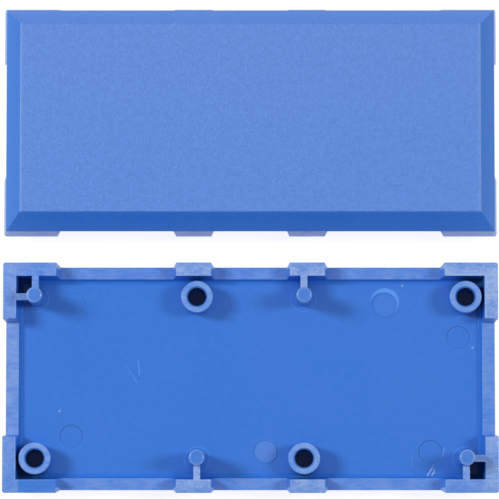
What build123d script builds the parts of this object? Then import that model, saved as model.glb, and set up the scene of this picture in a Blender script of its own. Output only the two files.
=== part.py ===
from build123d import *
import os

# A two-part electrical junction box, taken apart: the base lies open side up and the
# cover stands beside it, closed face up, on the tips of its four pins.
# Both halves are one and the same moulding. Turned over about X, each half's pins meet
# the other half's sockets. Millimetres, +Z up. The origin is on the table, midway
# between the two halves.

# Half shell, in its own frame: closed face at z = 0, open side up, centred on Z.
LENGTH = 88.0             # over the leg tips, along X
WIDTH = 41.0              # over the leg tips, along Y
HALF_HEIGHT = 8.0         # closed face to parting plane
SKIRT_HEIGHT = 4.6        # closed face to window sill, where the bevel ends
BEVEL_INSET_X = 2.7       # plan width of the bevel at the short sides
BEVEL_INSET_Y = 3.1       # and at the long sides
LEG_FLARE_X = 0.5         # a leg's outer face leans out this far from sill to tip
LEG_FLARE_Y = 0.65        # and a little more at the long sides
FLOOR = 3.5               # thickness of the closed face
LEG_TIP_WALL = 2.4        # wall thickness at the leg tips
CAVITY_DRAFT = 0.5        # the cavity is this much smaller at the floor, each side
CAVITY_ROUND = 0.9        # where its walls meet the floor
FACE_EDGE_ROUND = 0.3
CORNER_ROUND = 0.45       # upright corners of the corner legs
TIP_ROUND = 0.2           # outer edge of the leg tips

# Legs between the cable windows
CORNER_LEG_X = 9.5        # corner leg along the long side, at its tip
CORNER_LEG_Y = 10.0       # corner leg along the short side, at its tip
MID_LEG = 6.2             # width of a middle leg at its tip
MID_LEG_X = 10.1          # its centre from the middle of the long side
MID_SLANT = 0.5           # a middle leg's end widens this much from tip to sill
CORNER_SLANT = 0.7        # a corner leg's end does so by this much

# Pins and sockets
BOSS_OUTER_X = 38.2
BOSS_INNER_X = 9.5
BOSS_Y = 14.35
PIN_DIAMETER = 2.8
PIN_REACH = 4.1           # pin height above the parting plane
PIN_TIP_ROUND = 0.4
PIN_FOOT_DIAMETER = 4.2   # low disc on the floor round each pin
PIN_FOOT_STEP = 0.1
SOCKET_DIAMETER = 5.7
SOCKET_BORE = 3.3
BORE_FLOOR = 2.5          # what is left of the closed face under a bore
SOCKET_MOUTH = 0.25       # chamfer at the mouth of the bore
SOCKET_RIM_ROUND = 0.18   # outer edge of the socket's rim
RIB = 1.2                 # ribs that tie a pin to the legs

# Round marks that the ejector pins leave on the floor: x, y, diameter, step height
EJECTOR_MARKS = [
    (-31.5, 13.5, 4.1, -0.06),
    (-2.0, 13.5, 4.1, -0.06),
    (24.0, 13.4, 4.8, 0.14),
    (37.0, 7.4, 4.2, -0.06),
    (32.0, -13.0, 4.3, -0.08),
    (2.6, -13.0, 4.3, 0.10),
    (-31.9, -10.2, 4.2, -0.06),
]

# Layout of the two halves
SPACING = 45.9            # centre of the base to centre of the cover, along Y

BITE = 0.3                # how deep a pin or socket is sunk into the floor
RIB_BITE = 0.1            # how deep a rib is sunk into the floor and the wall
MORE = 1.0                # cutters run past the faces they cut by this much

PIN_PLACES = [
    (-BOSS_OUTER_X, BOSS_Y),
    (BOSS_INNER_X, BOSS_Y),
    (-BOSS_INNER_X, -BOSS_Y),
    (BOSS_OUTER_X, -BOSS_Y),
]
SOCKET_PLACES = [(x, -y) for x, y in PIN_PLACES]


def frustum(low_size, high_size, low_z, high_z):
    """A four-sided block whose rectangle changes evenly from low_z to high_z."""
    low = Pos(0, 0, low_z) * Rectangle(*low_size)
    high = Pos(0, 0, high_z) * Rectangle(*high_size)
    return loft([low, high])


def outer_block():
    """The half shell's outside, before it is hollowed: bevel below, legs' flare above."""
    tip = (LENGTH, WIDTH)
    sill = (LENGTH - 2 * LEG_FLARE_X, WIDTH - 2 * LEG_FLARE_Y)
    face = (sill[0] - 2 * BEVEL_INSET_X, sill[1] - 2 * BEVEL_INSET_Y)
    bevel = frustum(face, sill, 0, SKIRT_HEIGHT)
    bevel = fillet(bevel.faces().sort_by(Axis.Z)[0].edges(), FACE_EDGE_ROUND)
    legs = frustum(sill, tip, SKIRT_HEIGHT, HALF_HEIGHT)
    corners = [e for e in legs.edges() if abs(e.tangent_at(0.5).Z) > 0.5]
    legs = fillet(corners, CORNER_ROUND)
    legs = fillet(legs.faces().sort_by(Axis.Z)[-1].edges(), TIP_ROUND)
    return bevel + legs


def cavity():
    """The tray's hollow, wider at the top so that the moulding leaves its tool."""
    tip = (LENGTH - 2 * LEG_TIP_WALL, WIDTH - 2 * LEG_TIP_WALL)
    low = (tip[0] - 2 * CAVITY_DRAFT, tip[1] - 2 * CAVITY_DRAFT)
    hollow = frustum(low, tip, FLOOR, HALF_HEIGHT)
    hollow = fillet(hollow.faces().sort_by(Axis.Z)[0].edges(), CAVITY_ROUND)
    return hollow + Pos(0, 0, HALF_HEIGHT + MORE / 2) * Box(*tip, MORE)


def window(low_end, high_end, low_slant, high_slant, reach):
    """Cutter for a cable window along X between two leg ends, given at the leg tips."""
    rise = HALF_HEIGHT - SKIRT_HEIGHT
    past = (rise + MORE) / rise
    outline = Polyline(
        (low_end + low_slant, 0),
        (high_end - high_slant, 0),
        (high_end + high_slant * (past - 1), rise * past),
        (low_end - low_slant * (past - 1), rise * past),
        close=True,
    )
    cutter = extrude(Plane.XZ * make_face(outline), reach / 2, both=True)
    return Pos(0, 0, SKIRT_HEIGHT) * cutter


def windows():
    """Three windows through each long side and one through each short side."""
    across = WIDTH + 2 * MORE
    along = LENGTH + 2 * MORE
    mid_inner = MID_LEG_X - MID_LEG / 2
    mid_outer = MID_LEG_X + MID_LEG / 2
    corner_x = LENGTH / 2 - CORNER_LEG_X
    corner_y = WIDTH / 2 - CORNER_LEG_Y
    return [
        window(-mid_inner, mid_inner, MID_SLANT, MID_SLANT, across),
        window(mid_outer, corner_x, MID_SLANT, CORNER_SLANT, across),
        window(-corner_x, -mid_outer, CORNER_SLANT, MID_SLANT, across),
        Rot(0, 0, 90) * window(-corner_y, corner_y, MID_SLANT, MID_SLANT, along),
    ]


def pin(x, y):
    """A solid pin from the floor to beyond the parting plane, with a rounded tip."""
    height = HALF_HEIGHT + PIN_REACH - FLOOR + BITE
    shaft = Pos(x, y, FLOOR - BITE + height / 2) * Cylinder(PIN_DIAMETER / 2, height)
    tip_edge = shaft.edges().filter_by(GeomType.CIRCLE).sort_by(Axis.Z)[-1]
    return fillet(tip_edge, PIN_TIP_ROUND)


def pin_foot(x, y):
    """The low disc on the floor round a pin."""
    return ejector_mark(x, y, PIN_FOOT_DIAMETER, PIN_FOOT_STEP)


def ribs(x, y):
    """Ribs from a pin to the leg beside it, and at a corner to the end leg as well."""
    height = HALF_HEIGHT - FLOOR + RIB_BITE
    mid_z = FLOOR - RIB_BITE + height / 2
    wall_y = WIDTH / 2 - LEG_TIP_WALL + RIB_BITE
    side = 1 if y > 0 else -1
    walls = [Pos(x, side * (abs(y) + wall_y) / 2, mid_z) * Box(RIB, wall_y - abs(y), height)]
    if abs(x) == BOSS_OUTER_X:
        end = 1 if x > 0 else -1
        wall_x = LENGTH / 2 - LEG_TIP_WALL + RIB_BITE
        walls.append(Pos(end * (abs(x) + wall_x) / 2, y, mid_z) * Box(wall_x - abs(x), RIB, height))
    return walls


def socket_tube(x, y):
    """The outside of a socket: a tube that ends at the parting plane."""
    height = HALF_HEIGHT - FLOOR + BITE
    tube = Pos(x, y, FLOOR - BITE + height / 2) * Cylinder(SOCKET_DIAMETER / 2, height)
    rim = tube.edges().filter_by(GeomType.CIRCLE).sort_by(Axis.Z)[-1]
    return fillet(rim, SOCKET_RIM_ROUND)


def socket_bore(x, y):
    """Cutter for the socket's bore and its chamfered mouth."""
    depth = HALF_HEIGHT - BORE_FLOOR
    bore = Pos(x, y, BORE_FLOOR + (depth + MORE) / 2) * Cylinder(SOCKET_BORE / 2, depth + MORE)
    top = SOCKET_BORE / 2 + SOCKET_MOUTH + MORE
    height = SOCKET_MOUTH + MORE
    mouth = Cone(SOCKET_BORE / 2, top, height)
    return bore + Pos(x, y, HALF_HEIGHT - SOCKET_MOUTH + height / 2) * mouth


def ejector_mark(x, y, diameter, step):
    """A disc that adds or removes a thin step on the floor; step is its signed height."""
    if step > 0:
        return Pos(x, y, FLOOR + (step - BITE) / 2) * Cylinder(diameter / 2, step + BITE)
    return Pos(x, y, FLOOR + (step + BITE) / 2) * Cylinder(diameter / 2, BITE - step)


def half_shell():
    """One complete moulding in its own frame."""
    shell = outer_block() - cavity()
    for cut in windows():
        shell -= cut
    for mark in EJECTOR_MARKS:
        disc = ejector_mark(*mark)
        shell = shell + disc if mark[3] > 0 else shell - disc
    for place in PIN_PLACES:
        shell += pin_foot(*place)
        shell += pin(*place)
        for wall in ribs(*place):
            shell += wall
    for place in SOCKET_PLACES:
        shell += socket_tube(*place)
    for place in SOCKET_PLACES:
        shell -= socket_bore(*place)
    return shell.solids()[0]


def main():
    os.makedirs("parts", exist_ok=True)
    half = half_shell()
    base = Pos(0, -SPACING / 2, 0) * half
    standing = PIN_REACH + HALF_HEIGHT
    cover = Pos(0, SPACING / 2, standing) * Rot(180, 0, 0) * half
    for name, solid in {"base_shell": base, "cover_shell": cover}.items():
        solid.label = name
        export_step(solid, f"parts/{name}.step")


main()
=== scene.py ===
import math

import bpy
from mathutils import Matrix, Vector


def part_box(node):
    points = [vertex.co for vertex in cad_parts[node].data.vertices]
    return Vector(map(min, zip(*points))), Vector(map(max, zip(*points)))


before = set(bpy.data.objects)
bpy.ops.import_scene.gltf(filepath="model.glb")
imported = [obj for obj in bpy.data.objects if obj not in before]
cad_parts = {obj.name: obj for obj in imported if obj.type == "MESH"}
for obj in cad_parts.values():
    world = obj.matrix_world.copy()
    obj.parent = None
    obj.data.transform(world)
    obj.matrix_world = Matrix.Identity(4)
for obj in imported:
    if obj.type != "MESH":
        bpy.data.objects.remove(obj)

MM = 0.001

# The moulding in its own frame, seen into its open side, in millimetres: heights from the
# closed face, places from the middle
FLOOR = 3.5
BORE_FLOOR = 2.5
SKIRT_HEIGHT = 4.6           # where the bevel ends and the window sills are
PARTING_HEIGHT = 8.0         # where the legs, ribs and sockets end
FACE_END = 40.35             # the closed face's short ends
LEG_INSIDE = (41.6, 18.1)    # the legs' inner faces at their tips, along X and Y
LEG_OUTSIDE = (43.0, 19.45)  # just inside their outer faces
SOCKETS = [(-38.2, -14.35), (9.5, -14.35), (-9.5, 14.35), (38.2, 14.35)]
SOCKET_REACH = 3.0
BORE_RADIUS = 1.65
PIN_FEET = [(-38.2, 14.35), (9.5, 14.35), (-9.5, -14.35), (38.2, -14.35)]
PIN_FOOT_RADIUS = 2.1

# Marks on the floor and on the closed face, in the same frame
EJECTOR_MARKS = [            # x, y, radius, how dark the outline is: a line at the mark's edge, with painted shade of its step
    (-31.5, 13.5, 2.05, 0.13),
    (-2.0, 13.5, 2.05, 0.06),
    (24.0, 13.4, 2.4, 0.05),
    (37.0, 7.4, 2.1, 0.32),
    (32.0, -13.0, 2.15, 0.32),
    (2.6, -13.0, 2.15, 0.18),
    (-31.9, -10.2, 2.1, 0.32),
]
RAISED_MARK = (24.0, 13.4, 2.4)    # a painted highlight where its outline catches the light at the back and right, and painted shade inside
PALE_DISCS = [               # x, y, radius, share
    (2.7, -12.9, 2.1, 0.15),
    (24.0, 13.2, 2.1, 0.05),
]
SPECKS = [(27.1, 16.7), (-34.0, -5.7), (39.6, 5.6)]
SMEARS = [                   # x, y, length, angle in degrees, share
    (-21.2, 0.9, 3.6, 123, 0.50),
    (-19.9, 2.1, 2.7, 95, 0.95),
]
FLOOR_SCRATCHES = [
    (31.9, -16.5, 2.4, 58, 0.85),
    (32.4, -16.9, 1.3, 62, 0.8),
    (32.7, -16.4, 0.7, 100, 0.7),
    (28.7, -14.7, 2.1, 95, 0.12),
    (34.3, -13.1, 1.4, 72, 0.2),
]
FACE_NICKS = [(-13.7, -16.6, 0.9, 140), (-32.8, -16.7, 0.7, 10)]    # without a share

# How the marks are drawn, in millimetres. A ring starts and ends this far outside the mark's
# radius, and the last number is how soft it is
OUTLINE_RING = (-0.14, 0.0, 0.08)
GLINT_RING = (0.08, 0.16, 0.1)
ARC_RING = (-0.28, -0.14, 0.1)
DIMPLE_RING = (0.50, 0.62, 0.12)   # on a pin's tip, round its centre
OUTLINE_FADE = (0.35, 1.25)        # an outline's strength at its front and at its back: painted shade, stronger at the back, as the light falls
DISC_SOFT = 0.4
SPECK_RADII = (0.1, 0.3)
SCRATCH_WIDTH, SCRATCH_SOFT = 0.1, 0.08
SCRATCH_END_SOFT = 0.2
SMEAR_LEAST, SCRATCH_LEAST = 0.4, 0.25    # the faintest part of a broken stroke

# Which way a surface faces: its normal's height in the moulding's frame, between two limits
FACES_CLOSED = (-0.97, -0.88)
FACES_BEVEL = (-0.62, -0.42)
FACES_SIDE = (-0.30, 0.30)
FACES_OPEN = (0.80, 0.97)
FACE_EDGE = (-0.93, -0.66)         # the rounded edge of the closed face
RIM_EDGE = (0.25, 0.93)            # rounded edges above the sills
FLOOR_CORNER = (0.25, 0.985)       # where the tray's walls meet the floor
TURN_SOFT, EDGE_SOFT, CORNER_SOFT = 0.05, 0.04, 0.01
END_TURN = (0.4, 0.6)              # how far a bevel faces along X at the short ends

# Moulded blue plastic, and the colours of its painted shades and highlights
BODY_BLUE = (0.033, 0.186, 0.696)
FACE_BLUE = (0.096, 0.262, 0.772)       # the textured closed face, hazier
FACE_GRIT = (0.0576, 0.1572, 0.4632)    # the low spots of its texture
MARK_BLUE = (0.0099, 0.0558, 0.2088)    # outlines of the marks: lines at their edges with painted shade of their steps, and the dark rings on the pin tips
GLINT_BLUE = (0.110, 0.340, 0.900)      # painted highlights on steps that catch the light, the smears on the floor, and socket rims
SCUFF_AND_SHEEN_BLUE = (0.305, 0.450, 0.780)      # rubbed rims and edges, and the painted highlights and reflection on edges and leg sides
SCRATCH_BLUE = (0.560, 0.680, 0.880)
# painted sheen across the closed face, and a random cloudy tone
SHEEN_AND_CLOUD_TINT = (0.450, 0.400, 0.650)
# painted shade in crevices and on the bevel's short ends
PAINTED_SHADE_BLUE = (0.013, 0.085, 0.225)
BORE_SHADE_BLUE = (0.046, 0.100, 0.200)       # painted shade at the bottom of the bores
PLASTIC_IOR = 1.53

# Noises: the size of their features in millimetres, and the range of their values that counts
CLOUD_SIZE, PATCH_SIZE, COARSE_SIZE, STREAK_SIZE, FINE_SIZE = 22, 4.0, 1.1, 0.5, 0.42
STREAK_STRETCH = (0.3, 1.0, 1.0)
NOISE_RANGE = (0.3, 0.7)
CLOUD_RANGE = (0.2, 0.8)
WEAR_RANGE = (0.35, 0.65)
FLECK_RANGE = (0.52, 0.72)
BREAK_RANGE = (0.35, 0.55)

# Where the wear, the painted highlights and the painted sheen change, in millimetres from the
# middle
CORNER_LEGS = (20, 32)
LONG_EDGES = (19.3, 19.9)
END_ARMS = (40.8, 41.6)
LEFT_SILL = (40.5, 41.0)
END_EDGES = (40.2, 40.6)
INNER_EDGES = (0.1, 0.35)    # a painted highlight along the legs' inner edges, outwards from LEG_INSIDE
# where the painted sheen on the closed face runs from full to none
FACE_SHEEN_ACROSS = (-16, 12)

# How far the rims and edges are rubbed towards SCUFF_AND_SHEEN_BLUE, and how much painted highlight
# and reflection some get
LOW_SHARE = 0.27             # sills, ribs and sockets
SOCKET_EXTRA = 0.16
PIN_TIP_LESS = 0.17
LEFT_SILL_EXTRA = 0.17
TIP_SHARE = 0.44             # leg tips
TIP_OFFSET = 0.1             # taken off again where the low share already counts
TIP_BACK = 3.0               # more towards the back, per metre
CORNER_OFFSET = -0.245       # corner legs
CORNER_LEAN = (4.6, 5.5)     # more to the right and back, per metre
OUTER_STRIP = 0.7            # part that is left along the outer long edges
END_ARM_EXTRA = 0.11
LEFT_ARM_EXTRA = 0.10
LEFT_ARM_FRONT = 65.0        # more towards the front, per metre
# painted highlight along the legs' inner edges
INNER_EDGE_HIGHLIGHT = 0.16
FLECKS = 0.9
PATCHES, STREAKS = (0.6, 1.2), (-0.2, 0.3)    # least and most
LEG_SIDE_REFLECTION = (0.3, 0.7)       # painted reflection of the pale floor on the legs' outer faces, at the short and at the long sides
EDGE_WEAR = (0.05, 0.15)
END_EDGE_HIGHLIGHT = 0.35              # painted highlight on the edges at the short ends and on the pins
BEVEL_RUB = 0.06
# painted highlight along the closed face's short ends
FACE_END_HIGHLIGHT = 0.12
NICK_SHARE = 0.45
SPECK_SHARE = 0.65

# How strong the other marks and shades are
MARK_GLINT = 0.15
FOOT_OUTLINE, FOOT_GLINT = 0.12, 0.45
RAISED_OUTLINE, RAISED_GLINT = 0.4, 0.9
DIMPLE = 0.15
SOCKET_GLINT = 0.22
# painted sheen on the closed face, and the random cloudy tone
FACE_PAINTED_SHEEN, CLOUD_HAZE = 0.04, 0.02
FINE_GRIT, COARSE_GRIT = 0.30, 0.12
CREVICE_SHADE = 0.75
CREVICE_REACH = 6.0          # millimetres
CREVICE_FULL, CREVICE_END, CREVICE_END_OPEN = 0.08, 0.28, 0.28    # in ambient occlusion
OCCLUSION_SAMPLES = 16
# painted shade on the bevel's short ends
END_BEVEL_SHADE = 0.16
DEEP_SHADE = 0.75

# Gloss
ROUGHNESS = 0.28
FACE_ROUGHER, SCUFF_AND_SHEEN_ROUGHER, EDGE_SMOOTHER = 0.27, 0.25, 0.14
UNEVEN_GLOSS = (-0.03, 0.06)
SPECULAR = 0.5
BEVEL_DULL, END_BEVEL_DULL, DEEP_DULL = 0.30, 0.42, 0.30
FLOOR_CORNER_DULL, CREVICE_DULL = 0.45, 0.4

# Relief, in millimetres
GRAIN_DEPTH, STREAK_DEPTH = 0.20, 0.05
OPEN_SIDE_GRAIN, RIM_STREAKS = 0.03, 0.8

# Camera: a long lens a little off the vertical, towards the base
CAMERA_TILT = math.radians(5.53)
CAMERA_DISTANCE = 0.7977
CAMERA_LENS = 323.05
SENSOR_WIDTH = 36.0
CAMERA_AIM = Vector((-0.00017, 0.0, 0.006))

# Studio: two softboxes (name, azimuth, degrees from the zenith, level), an even sky and a
# pale floor that glows a little
SOFTBOX_DISTANCE = 0.8
SOFTBOX_SIZE = (0.15, 0.24)  # level, tilted
SOFTBOXES = [("softbox_left", 165, 44, 0.545), ("softbox_right", 4, 41, 0.35)]
SKY_LEVEL = 0.335
FLOOR_SIDE = 6.0             # metres from the middle
FLOOR_DROP = 0.02            # millimetres below the object
FLOOR_GREY = 0.25
FLOOR_ROUGHNESS = 0.9
FLOOR_GLOW = 0.85
WHITE = (1.0, 1.0, 1.0, 1.0)


class Nodes:
    """Short calls that add shader nodes to one material."""

    def __init__(self, name):
        self.material = bpy.data.materials.new(name)
        self.material.use_nodes = True
        self.tree = self.material.node_tree
        self.shader = self.tree.nodes["Principled BSDF"]

    def add(self, kind, **settings):
        node = self.tree.nodes.new(kind)
        for key, value in settings.items():
            setattr(node, key, value)
        return node

    def feed(self, socket, value):
        """Links value to a socket if it is another node's output, or sets it."""
        if isinstance(value, bpy.types.NodeSocket):
            self.tree.links.new(value, socket)
        else:
            socket.default_value = value

    def math(self, operation, a, b=0.0):
        node = self.add("ShaderNodeMath", operation=operation)
        self.feed(node.inputs[0], a)
        self.feed(node.inputs[1], b)
        return node.outputs[0]

    def chain(self, operation, values):
        result = values[0]
        for value in values[1:]:
            result = self.math(operation, result, value)
        return result

    def plus(self, *values):
        return self.chain("ADD", values)

    def minus(self, a, b):
        return self.math("SUBTRACT", a, b)

    def times(self, *values):
        return self.chain("MULTIPLY", values)

    def all_of(self, *masks):
        return self.chain("MULTIPLY", masks)

    def any_of(self, *masks):
        return self.chain("MAXIMUM", masks)

    def outside(self, mask):
        return self.math("SUBTRACT", 1.0, mask)

    def ramp(self, value, low, high, to_low=0.0, to_high=1.0):
        """A smooth step from to_low at low to to_high at high."""
        node = self.add("ShaderNodeMapRange", interpolation_type="SMOOTHSTEP")
        self.feed(node.inputs["Value"], value)
        self.feed(node.inputs["From Min"], low)
        self.feed(node.inputs["From Max"], high)
        self.feed(node.inputs["To Min"], to_low)
        self.feed(node.inputs["To Max"], to_high)
        return node.outputs["Result"]

    def ramp_mm(self, value, low, high, to_low=0.0, to_high=1.0):
        """The same, with low and high in millimetres."""
        return self.ramp(value, low * MM, high * MM, to_low, to_high)

    def band(self, value, low, high, soft):
        """1 between low and high, 0 outside."""
        rise = self.ramp(value, low - soft, low)
        return self.all_of(rise, self.ramp(value, high, high + soft, 1.0, 0.0))

    def band_mm(self, value, low, high, soft):
        return self.band(value, low * MM, high * MM, soft * MM)

    def split(self, vector):
        node = self.add("ShaderNodeSeparateXYZ")
        self.feed(node.inputs[0], vector)
        return node.outputs["X"], node.outputs["Y"], node.outputs["Z"]

    def noise(self, place, size, detail=2.0, roughness=0.5, stretch=(1.0, 1.0, 1.0)):
        """Noise whose features measure about `size` millimetres."""
        mapping = self.add("ShaderNodeMapping")
        self.feed(mapping.inputs["Vector"], place)
        mapping.inputs["Scale"].default_value = [s / (size * MM) for s in stretch]
        node = self.add("ShaderNodeTexNoise")
        self.feed(node.inputs["Vector"], mapping.outputs["Vector"])
        node.inputs["Scale"].default_value = 1.0
        node.inputs["Detail"].default_value = detail
        node.inputs["Roughness"].default_value = roughness
        return node.outputs["Fac"]

    def blend(self, share, a, b):
        """Colour a where share is 0, b where it is 1."""
        node = self.add("ShaderNodeMix", data_type="RGBA")
        self.feed(node.inputs["Factor"], share)
        for key, colour in (("A", a), ("B", b)):
            is_socket = isinstance(colour, bpy.types.NodeSocket)
            self.feed(node.inputs[key], colour if is_socket else (*colour, 1.0))
        return node.outputs["Result"]

    def bump(self, height, depth, strength, over=None):
        """A bump of `depth` millimetres, on top of the bump `over`."""
        node = self.add("ShaderNodeBump")
        self.feed(node.inputs["Height"], height)
        node.inputs["Distance"].default_value = depth * MM
        self.feed(node.inputs["Strength"], strength)
        if over:
            self.feed(node.inputs["Normal"], over)
        return node.outputs["Normal"]


class Moulding(Nodes):
    """The shells' plastic. Its masks are places and directions in the moulding's own frame."""

    def __init__(self, name, low, high, facing, nicks):
        """facing is 1 where the closed face is down, -1 where it is up."""
        super().__init__(name)
        self.find_place(low, high, facing)
        self.find_surfaces()
        self.find_sockets()
        self.find_marks()
        rim = self.rims()
        scuff_and_sheen = self.any_of(rim, self.wear_and_painted_sheen(), self.chips(nicks))
        self.paint(scuff_and_sheen)
        self.set_gloss(scuff_and_sheen)
        self.set_relief(rim)

    def find_place(self, low, high, facing):
        """Place, direction and the noises that everything else is made from."""
        coordinates = self.add("ShaderNodeTexCoord")
        place = coordinates.outputs["Object"]
        self.x, y, z = self.split(place)
        middle = (low.y + high.y) / 2
        if facing > 0:
            self.height = self.minus(z, low.z)
            self.across = self.minus(y, middle)
        else:
            self.height = self.minus(high.z, z)
            self.across = self.minus(middle, y)
        self.to_left = self.times(self.x, -1.0)
        self.out_x = self.math("ABSOLUTE", self.x)
        self.out_y = self.math("ABSOLUTE", self.across)
        join = self.add("ShaderNodeCombineXYZ")
        self.feed(join.inputs["X"], self.x)
        self.feed(join.inputs["Y"], self.across)
        self.plan = join.outputs[0]
        normal_x, _, normal_z = self.split(coordinates.outputs["Normal"])
        self.up = self.times(normal_z, float(facing))
        self.endwards = self.math("ABSOLUTE", normal_x)

        self.cloud = self.noise(place, CLOUD_SIZE)
        self.patch = self.noise(place, PATCH_SIZE, roughness=0.6)
        self.coarse = self.noise(place, COARSE_SIZE, detail=1.0)
        self.streak = self.noise(place, STREAK_SIZE, detail=3.0, stretch=STREAK_STRETCH)
        self.fine = self.noise(place, FINE_SIZE, roughness=0.6)

    def find_surfaces(self):
        self.closed_face = self.ramp(self.up, *FACES_CLOSED, 1.0, 0.0)
        self.bevel = self.band(self.up, *FACES_BEVEL, TURN_SOFT)
        self.end_bevel = self.all_of(self.bevel, self.ramp(self.endwards, *END_TURN))
        self.open_side = self.ramp(self.up, *FACES_OPEN)
        self.above_sill = self.ramp_mm(self.height, SKIRT_HEIGHT - 0.15, SKIRT_HEIGHT - 0.05)
        self.at_parting = self.ramp_mm(self.height, PARTING_HEIGHT - 0.3, PARTING_HEIGHT - 0.1)
        self.on_pin = self.ramp_mm(self.height, PARTING_HEIGHT + 0.1, PARTING_HEIGHT + 0.2)
        rim_edge = self.all_of(self.band(self.up, *RIM_EDGE, EDGE_SOFT), self.above_sill)
        self.edges = self.any_of(self.band(self.up, *FACE_EDGE, EDGE_SOFT), rim_edge)
        below_sill = self.ramp_mm(self.height, SKIRT_HEIGHT - 0.25, SKIRT_HEIGHT - 0.15, 1.0, 0.0)
        self.near_floor = self.all_of(self.open_side, below_sill)
        low = self.ramp_mm(self.height, FLOOR + 0.85, FLOOR + 0.95, 1.0, 0.0)
        self.floor_corner = self.all_of(self.band(self.up, *FLOOR_CORNER, CORNER_SOFT), low)

    def find_sockets(self):
        """Masks of the sockets and of the painted shade in their bores, which fades towards the
        back left, where the bore walls catch the light.
        """
        in_bore, self.on_socket = 0.0, 0.0
        for x, y in SOCKETS:
            away = self.away(x, y)
            inside = self.ramp_mm(away, BORE_RADIUS + 0.05, BORE_RADIUS + 0.15, 1.0, 0.0)
            fading = self.ramp_mm(self.away(x + 0.4, y - 0.4), 1.0, 2.2, 1.0, 0.3)
            in_bore = self.any_of(in_bore, self.all_of(fading, inside))
            tube = self.ramp_mm(away, SOCKET_REACH, SOCKET_REACH + 0.2, 1.0, 0.0)
            self.on_socket = self.any_of(self.on_socket, tube)
        below_mouth = self.ramp_mm(
            self.height, PARTING_HEIGHT - 3.0, PARTING_HEIGHT - 0.6, 1.0, 0.0)
        above_bottom = self.ramp_mm(self.height, BORE_FLOOR - 0.4, BORE_FLOOR - 0.2)
        self.deep = self.all_of(in_bore, below_mouth, above_bottom)

    def away(self, x, y):
        """Distance in plan from (x, y)."""
        node = self.add("ShaderNodeVectorMath", operation="DISTANCE")
        self.feed(node.inputs[0], self.plan)
        node.inputs[1].default_value = (x * MM, y * MM, 0.0)
        return node.outputs["Value"]

    def ring(self, x, y, radius, start, end, soft):
        """A thin ring from start to end outside the radius."""
        return self.band_mm(self.away(x, y), radius + start, radius + end, soft)

    def disc(self, x, y, inner, outer, share=1.0):
        """share within the inner radius, fading to 0 at the outer one."""
        return self.ramp_mm(self.away(x, y), inner, outer, share, 0.0)

    def stroke(self, x, y, length, angle):
        """A short straight scratch through (x, y)."""
        turn = self.add("ShaderNodeMapping", vector_type="TEXTURE")
        self.feed(turn.inputs["Vector"], self.plan)
        turn.inputs["Location"].default_value = (x * MM, y * MM, 0.0)
        turn.inputs["Rotation"].default_value = (0.0, 0.0, math.radians(angle))
        along, across, _ = self.split(turn.outputs["Vector"])
        along = self.band_mm(along, -length / 2, length / 2, SCRATCH_END_SOFT)
        across = self.band_mm(across, -SCRATCH_WIDTH / 2, SCRATCH_WIDTH / 2, SCRATCH_SOFT)
        return self.all_of(along, across)

    def broken_stroke(self, x, y, length, angle, share, least):
        """A stroke that fades in and out; least is its faintest part, of share."""
        fading = self.ramp(self.streak, *BREAK_RANGE, least * share, share)
        return self.times(self.stroke(x, y, length, angle), fading)

    def find_marks(self):
        """Dark outlines with painted shade, painted highlights as glints, smears, pale spots and
        scratches on the floor.
        """
        outlines = [(*mark, MARK_GLINT) for mark in EJECTOR_MARKS]
        outlines += [(*foot, PIN_FOOT_RADIUS, FOOT_OUTLINE, FOOT_GLINT) for foot in PIN_FEET]
        self.rings, self.glints_and_smears = 0.0, 0.0
        for x, y, radius, dark, glint_share in outlines:
            # Each outline is a line at the mark's edge, with painted shade of its step that grows
            # towards the back as the light falls; the glint outside it is a painted highlight.
            at_front, at_back = [fade * dark for fade in OUTLINE_FADE]
            fading = self.ramp_mm(
                self.across, y - radius, y + radius * 0.6, at_front, at_back)
            outline = self.all_of(self.ring(x, y, radius, *OUTLINE_RING), fading)
            self.rings = self.any_of(self.rings, outline)
            glint = self.times(self.ring(x, y, radius, *GLINT_RING), glint_share)
            self.glints_and_smears = self.any_of(self.glints_and_smears, glint)
        self.add_raised_mark()
        for *smear, share in SMEARS:
            smear = self.broken_stroke(*smear, share, SMEAR_LEAST)
            self.glints_and_smears = self.any_of(self.glints_and_smears, smear)

        self.spots, self.scratches = 0.0, 0.0
        for x, y, radius, share in PALE_DISCS:
            disc = self.disc(x, y, radius - DISC_SOFT, radius, share)
            self.spots = self.any_of(self.spots, disc)
        for x, y in SPECKS:
            self.spots = self.any_of(self.spots, self.disc(x, y, *SPECK_RADII, SPECK_SHARE))
        for *scratch, share in FLOOR_SCRATCHES:
            scratch = self.broken_stroke(*scratch, share, SCRATCH_LEAST)
            self.scratches = self.any_of(self.scratches, scratch)

    def add_raised_mark(self):
        """A painted highlight as a bright crescent at the back and right of the raised mark, and a
        dark arc of painted shade inside.
        """
        x, y, radius = RAISED_MARK
        outer = self.disc(x, y + 0.25, radius + 0.1, radius + 0.25)
        inner = self.ramp_mm(self.away(x - 0.2, y - 0.25), radius - 0.15, radius + 0.05)
        crescent = self.all_of(outer, inner, RAISED_GLINT)
        self.glints_and_smears = self.any_of(self.glints_and_smears, crescent)
        behind = self.ramp_mm(self.across, y - 1.0, y + 0.8, 0.0, RAISED_OUTLINE)
        arc = self.ring(x - 0.1, y - 0.15, radius, *ARC_RING)
        self.rings = self.any_of(self.rings, self.all_of(behind, arc))

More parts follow.
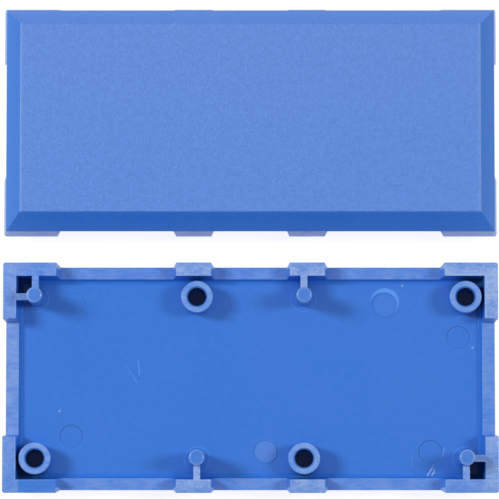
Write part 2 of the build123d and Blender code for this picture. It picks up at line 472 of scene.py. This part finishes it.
    def tip_share(self):
        """How rubbed the leg tips are."""
        lean = self.plus(
            self.times(self.x, CORNER_LEAN[0]), self.times(self.across, CORNER_LEAN[1]))
        at_corner = self.ramp_mm(self.out_x, *CORNER_LEGS)
        corner = self.times(at_corner, self.plus(CORNER_OFFSET, lean))
        share = self.plus(self.times(self.across, TIP_BACK), corner, TIP_SHARE)
        off_long_edge = self.ramp_mm(self.out_y, *LONG_EDGES, 1.0, OUTER_STRIP)
        end_arm = self.ramp_mm(self.out_x, *END_ARMS, 0.0, END_ARM_EXTRA)
        left_arm = self.ramp_mm(self.to_left, *END_ARMS, 0.0, LEFT_ARM_EXTRA)
        front = self.minus(1.0, self.times(self.across, LEFT_ARM_FRONT))
        return self.plus(
            self.times(off_long_edge, share), self.plus(end_arm, self.times(left_arm, front)))

    def rims(self):
        """Rubbed rims: the leg tips most, then the sockets and ribs, the sills and the pins, with a
        painted highlight along the legs' inner edges.
        """
        socket_rim = self.all_of(self.on_socket, self.at_parting)
        low_share = self.plus(LOW_SHARE, self.times(socket_rim, SOCKET_EXTRA))
        low_share = self.minus(low_share, self.times(self.on_pin, PIN_TIP_LESS))
        left_sill = self.ramp_mm(self.to_left, *LEFT_SILL, 0.0, LEFT_SILL_EXTRA)
        left_sill = self.all_of(self.outside(self.at_parting), left_sill)
        low_share = self.plus(low_share, left_sill)
        on_tip = self.all_of(
            self.at_parting, self.outside(self.on_socket), self.outside(self.on_pin))
        from_hollow = self.any_of(
            self.minus(self.out_x, LEG_INSIDE[0] * MM), self.minus(self.out_y, LEG_INSIDE[1] * MM))
        # A painted highlight along the inner edges of the leg tips
        inner_edge_highlight = self.ramp_mm(from_hollow, *INNER_EDGES, INNER_EDGE_HIGHLIGHT, 0.0)
        tip_share = self.plus(self.minus(self.tip_share(), TIP_OFFSET), inner_edge_highlight)
        share = self.plus(low_share, self.times(on_tip, tip_share))
        flecks = self.all_of(on_tip, self.ramp(self.fine, *FLECK_RANGE, 0.0, FLECKS))
        uneven = self.plus(
            self.ramp(self.patch, *NOISE_RANGE, *PATCHES),
            self.ramp(self.streak, *NOISE_RANGE, *STREAKS))
        return self.all_of(self.open_side, self.above_sill, share, self.plus(uneven, flecks))

    def wear_and_painted_sheen(self):
        """Leg sides with a painted reflection of the floor, edges with wear and painted highlights,
        the foot of the bevel, a painted highlight along the closed face's ends, and the pale spots
        on the floor.
        """
        # Painted reflection: the legs' outer faces made pale like the floor they reflect
        short_side = self.ramp_mm(
            self.out_x, LEG_OUTSIDE[0] - 0.2, LEG_OUTSIDE[0] + 0.2, 0.0, LEG_SIDE_REFLECTION[0])
        long_side = self.ramp_mm(
            self.out_y, LEG_OUTSIDE[1] - 0.15, LEG_OUTSIDE[1] + 0.15, 0.0, LEG_SIDE_REFLECTION[1])
        upright = self.band(self.up, *FACES_SIDE, TURN_SOFT)
        leg_side_reflection = self.all_of(upright, self.above_sill, self.any_of(long_side, short_side))
        # Edges wear at random; at the short ends and on the pins they also get a painted highlight
        at_end = self.any_of(self.ramp_mm(self.out_x, *END_EDGES), self.on_pin)
        edge_wear_and_highlight = self.ramp(self.patch, *WEAR_RANGE, *EDGE_WEAR)
        edge_wear_and_highlight = self.plus(edge_wear_and_highlight, self.times(at_end, END_EDGE_HIGHLIGHT))
        rub = self.all_of(self.bevel, self.ramp_mm(self.height, 1.0, SKIRT_HEIGHT, 0.0, BEVEL_RUB))
        # A painted highlight along the closed face's short ends
        face_end_highlight = self.all_of(
            self.closed_face,
            self.ramp_mm(self.out_x, FACE_END - 0.1, FACE_END + 0.1, 0.0, FACE_END_HIGHLIGHT))
        spots = self.all_of(self.near_floor, self.spots)
        return self.any_of(leg_side_reflection, rub, self.times(self.edges, edge_wear_and_highlight), face_end_highlight, spots)

    def chips(self, nicks):
        """Small nicks on the closed face."""
        marks = 0.0
        for nick in nicks:
            marks = self.any_of(marks, self.stroke(*nick))
        closed_side = self.ramp_mm(self.height, 0.6, 0.8, 1.0, 0.0)
        return self.all_of(marks, closed_side, NICK_SHARE)

    def crevices(self):
        """Painted shade in crevices, from the ambient occlusion of the part itself, a little wider
        on the open side.
        """
        hollow = self.add(
            "ShaderNodeAmbientOcclusion", samples=OCCLUSION_SAMPLES, only_local=True)
        hollow.inputs["Distance"].default_value = CREVICE_REACH * MM
        end = self.plus(CREVICE_END, self.times(self.open_side, CREVICE_END_OPEN))
        return self.ramp(hollow.outputs["AO"], CREVICE_FULL, end, CREVICE_SHADE, 0.0)

    def paint(self, scuff_and_sheen):
        """The base colour, from the plain plastic up through its marks, painted highlights and
        painted reflection to its painted shades.
        """
        skin = self.blend(self.closed_face, BODY_BLUE, FACE_BLUE)
        # Painted sheen: the closed face lighter on one side, as the light falls, with a random
        # cloudy tone over all
        sheen_and_cloud = self.ramp_mm(self.across, *FACE_SHEEN_ACROSS, FACE_PAINTED_SHEEN, 0.0)
        sheen_and_cloud = self.all_of(self.closed_face, sheen_and_cloud)
        sheen_and_cloud = self.plus(sheen_and_cloud, self.ramp(self.cloud, *CLOUD_RANGE, 0.0, CLOUD_HAZE))
        skin = self.blend(sheen_and_cloud, skin, SHEEN_AND_CLOUD_TINT)
        grit = self.plus(
            self.ramp(self.fine, *NOISE_RANGE, 0.0, FINE_GRIT),
            self.ramp(self.coarse, *NOISE_RANGE, 0.0, COARSE_GRIT))
        skin = self.blend(self.all_of(self.closed_face, grit), skin, FACE_GRIT)
        dimples = 0.0
        for x, y in PIN_FEET:
            dimples = self.any_of(dimples, self.ring(x, y, 0.0, *DIMPLE_RING))
        dimples = self.all_of(self.on_pin, self.open_side, dimples, DIMPLE)
        # Painted shade in the outlines of the floor marks, and the dark rings on the pin tips
        outlines = self.any_of(dimples, self.all_of(self.near_floor, self.rings))
        skin = self.blend(outlines, skin, MARK_BLUE)
        # Painted highlights on the floor marks' steps, and the smears
        skin = self.blend(self.all_of(self.near_floor, self.glints_and_smears), skin, GLINT_BLUE)
        socket_rim = self.all_of(self.on_socket, self.open_side, self.at_parting, SOCKET_GLINT)
        skin = self.blend(socket_rim, skin, GLINT_BLUE)
        # Wear, with painted highlights and a painted reflection of the floor
        skin = self.blend(scuff_and_sheen, skin, SCUFF_AND_SHEEN_BLUE)
        skin = self.blend(self.all_of(self.near_floor, self.scratches), skin, SCRATCH_BLUE)
        # Painted shade in the crevices and on the bevel's short ends
        self.shade = self.crevices()
        dark = self.any_of(
            self.all_of(self.shade, self.outside(self.deep)),
            self.times(self.end_bevel, END_BEVEL_SHADE))
        skin = self.blend(dark, skin, PAINTED_SHADE_BLUE)
        # Painted shade in the bores
        skin = self.blend(self.times(self.deep, DEEP_SHADE), skin, BORE_SHADE_BLUE)
        self.feed(self.shader.inputs["Base Color"], skin)

    def set_gloss(self, scuff_and_sheen):
        rough = self.plus(
            ROUGHNESS, self.times(self.closed_face, FACE_ROUGHER), self.times(scuff_and_sheen, SCUFF_AND_SHEEN_ROUGHER),
            self.ramp(self.coarse, *NOISE_RANGE, *UNEVEN_GLOSS))
        rough = self.minus(rough, self.times(self.edges, EDGE_SMOOTHER))
        self.feed(self.shader.inputs["Roughness"], rough)
        dull = self.any_of(
            self.times(self.bevel, BEVEL_DULL), self.times(self.end_bevel, END_BEVEL_DULL),
            self.times(self.deep, DEEP_DULL), self.times(self.floor_corner, FLOOR_CORNER_DULL),
            self.times(self.shade, CREVICE_DULL))
        self.feed(self.shader.inputs["Specular IOR Level"], self.minus(SPECULAR, dull))
        self.shader.inputs["IOR"].default_value = PLASTIC_IOR

    def set_relief(self, rim):
        """Grain on the closed face, faint on the open side, and streaks on the rims."""
        strength = self.any_of(self.closed_face, self.times(self.open_side, OPEN_SIDE_GRAIN))
        grain = self.bump(self.fine, GRAIN_DEPTH, strength)
        streaks = self.times(rim, RIM_STREAKS)
        relief = self.bump(self.streak, STREAK_DEPTH, streaks, over=grain)
        self.feed(self.shader.inputs["Normal"], relief)


def dress(node, material):
    """Gives a CAD node its material."""
    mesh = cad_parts[node].data
    mesh.materials.clear()
    mesh.materials.append(material)


def put(name, data):
    """An object in the scene that holds data."""
    piece = bpy.data.objects.new(name, data)
    bpy.context.collection.objects.link(piece)
    return piece


def softbox(name, azimuth, from_zenith, level):
    """A large soft light, part way up the sky. level is how brightly it lights a white card
    that faces it, against 1 for pure white."""
    turn = math.radians(azimuth)
    tip = math.radians(from_zenith)
    towards = Vector((
        math.sin(tip) * math.cos(turn), math.sin(tip) * math.sin(turn), math.cos(tip)))
    light = bpy.data.lights.new(name, "AREA")
    light.shape = "RECTANGLE"
    light.size, light.size_y = SOFTBOX_SIZE
    light.energy = level * (math.pi * SOFTBOX_DISTANCE) ** 2
    piece = put(name, light)
    piece.location = towards * SOFTBOX_DISTANCE
    piece.rotation_euler = towards.to_track_quat("Z", "Y").to_euler()


def studio():
    """Pale floor, even sky, and a softbox on either side, the left one brighter."""
    mesh = bpy.data.meshes.new("floor")
    corners = [(-1, -1), (1, -1), (1, 1), (-1, 1)]
    corners = [(x * FLOOR_SIDE, y * FLOOR_SIDE, 0.0) for x, y in corners]
    mesh.from_pydata(corners, [], [range(4)])
    floor = put("floor", mesh)
    floor.location.z = -FLOOR_DROP * MM
    floor_nodes = Nodes("pale_floor")
    surface = floor_nodes.shader.inputs
    surface["Base Color"].default_value = (FLOOR_GREY, FLOOR_GREY, FLOOR_GREY, 1.0)
    surface["Roughness"].default_value = FLOOR_ROUGHNESS
    surface["Emission Color"].default_value = WHITE
    surface["Emission Strength"].default_value = FLOOR_GLOW
    mesh.materials.append(floor_nodes.material)

    world = bpy.data.worlds.new("sky")
    world.use_nodes = True
    sky = world.node_tree.nodes["Background"]
    sky.inputs["Color"].default_value = WHITE
    sky.inputs["Strength"].default_value = SKY_LEVEL
    bpy.context.scene.world = world

    for settings in SOFTBOXES:
        softbox(*settings)


def camera():
    """The camera, at the angle that both halves are seen from."""
    lens = bpy.data.cameras.new("camera")
    lens.lens = CAMERA_LENS
    lens.sensor_width = SENSOR_WIDTH
    piece = put("camera", lens)
    back = Vector((0.0, -math.sin(CAMERA_TILT), math.cos(CAMERA_TILT)))
    piece.location = CAMERA_AIM + back * CAMERA_DISTANCE
    piece.rotation_euler = (CAMERA_TILT, 0.0, 0.0)
    bpy.context.scene.camera = piece


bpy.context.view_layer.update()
camera()
studio()
base_skin = Moulding("base_plastic_skin", *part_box("base_shell"), 1, [])
dress("base_shell", base_skin.material)
cover_skin = Moulding("cover_plastic_skin", *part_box("cover_shell"), -1, FACE_NICKS)
dress("cover_shell", cover_skin.material)
bpy.context.scene.view_settings.view_transform = "Standard"
